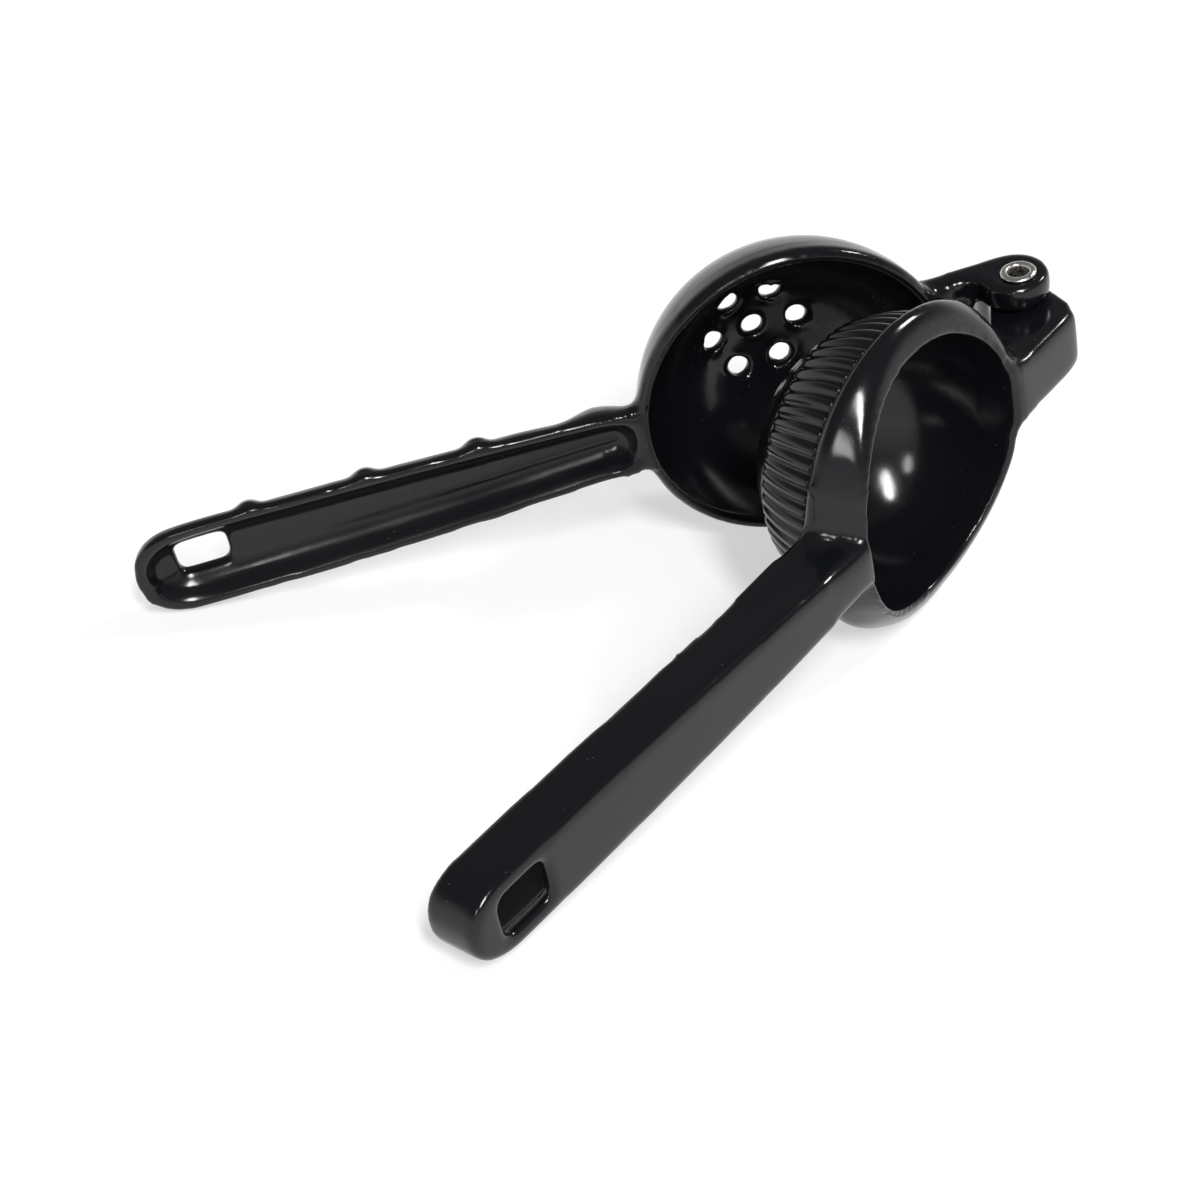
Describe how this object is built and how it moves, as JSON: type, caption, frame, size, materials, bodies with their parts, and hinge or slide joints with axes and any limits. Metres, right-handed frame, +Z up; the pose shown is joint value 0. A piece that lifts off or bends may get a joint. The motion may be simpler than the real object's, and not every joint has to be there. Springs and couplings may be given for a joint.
{
  "type": "lemon squeezer",
  "caption": "Hand-held hinged citrus squeezer: a holed strainer bowl and a ribbed pressing dome on two long handles, joined by one rivet.",
  "frame": {"origin": "centre of the bounding box at the height of the surface that the squeezer lies on", "axes": "+Z up, +X along the strainer handle's run over the surface, from hinge to handle end, +Y from the strainer's back towards its open side, where the press arm is"},
  "size_m": [0.2024, 0.1586, 0.07],
  "materials": {
    "black_paint": "gloss black coating on cast aluminium",
    "rivet_metal": "bright plated steel"
  },
  "bodies": {
    "strainer": {"strainer_arm": "black_paint", "hinge_rivet": "rivet_metal"},
    "press": {"press_arm": "black_paint"}
  },
  "joints": [
    {"name": "press_swing", "type": "hinge", "parent": "strainer", "child": "press", "pos_m": [-0.0908, -0.04831, 0.04423], "axis": [0.181, 0.0727, 0.9808], "range_deg": [-37, 143]}
  ]
}
